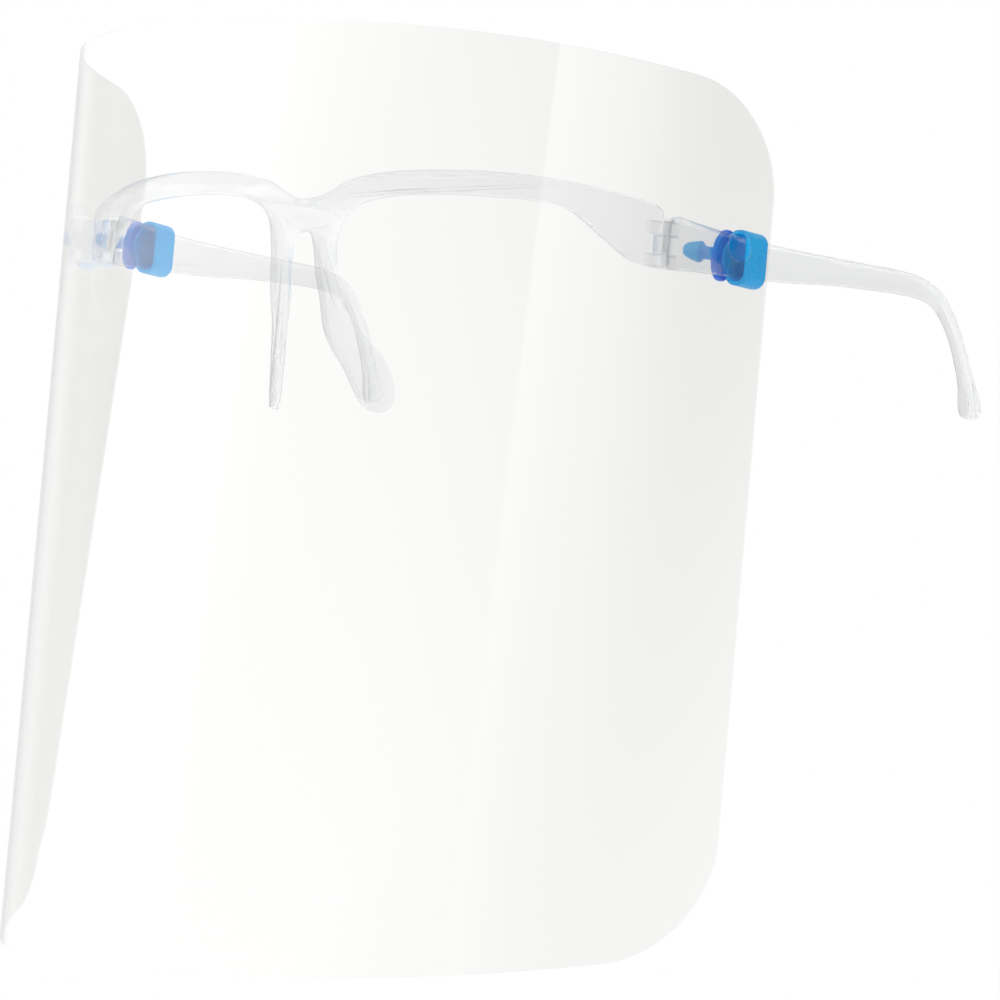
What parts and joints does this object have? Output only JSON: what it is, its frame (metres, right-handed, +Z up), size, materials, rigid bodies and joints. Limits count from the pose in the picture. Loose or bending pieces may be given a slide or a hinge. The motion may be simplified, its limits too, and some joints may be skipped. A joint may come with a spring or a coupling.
{
  "type": "glasses-frame face shield",
  "caption": "Clear bent visor film worn on a half-rim spectacle frame with folding temples, moulded nose pads and blue silicone sleeves with barbed studs.",
  "frame": {"origin": "underside of the bridge, where it sits on the nose, on the mirror plane", "axes": "+Z up, the wearer looks along -Y, +X to the wearer's left"},
  "size_m": [0.1742, 0.194, 0.1928],
  "materials": {
    "clear_frame": "polished transparent moulding",
    "screw_steel": "turned",
    "blue_silicone": "smooth translucent silicone",
    "clear_film": "transparent film"
  },
  "bodies": {
    "front": {"frame_front": "clear_frame", "hinge_screw_left": "screw_steel", "hinge_screw_right": "screw_steel"},
    "temple_left": {"temple_left": "clear_frame"},
    "temple_right": {"temple_right": "clear_frame", "clip_right": "blue_silicone"},
    "clip_left": {"clip_left": "blue_silicone"},
    "visor": {"visor_film": "clear_film"}
  },
  "joints": [
    {"name": "temple_left_fold", "type": "hinge", "parent": "front", "child": "temple_left", "pos_m": [0.072, 0.025, 0.0009], "axis": [0, 0, 1], "range_deg": [0, 94]},
    {"name": "temple_right_fold", "type": "hinge", "parent": "front", "child": "temple_right", "pos_m": [-0.072, 0.025, 0.0009], "axis": [0, 0, -1], "range_deg": [0, 80]},
    {"name": "clip_left_slide", "type": "slide", "parent": "temple_left", "child": "clip_left", "axis": [0.0819, 0.9966, 0], "range_m": [-0.003, 0.012]},
    {"name": "visor_lift", "type": "hinge", "parent": "front", "child": "visor", "pos_m": [0, 0.0386, 0.0033], "axis": [-1, 0, 0], "range_deg": [-3, 60]}
  ]
}
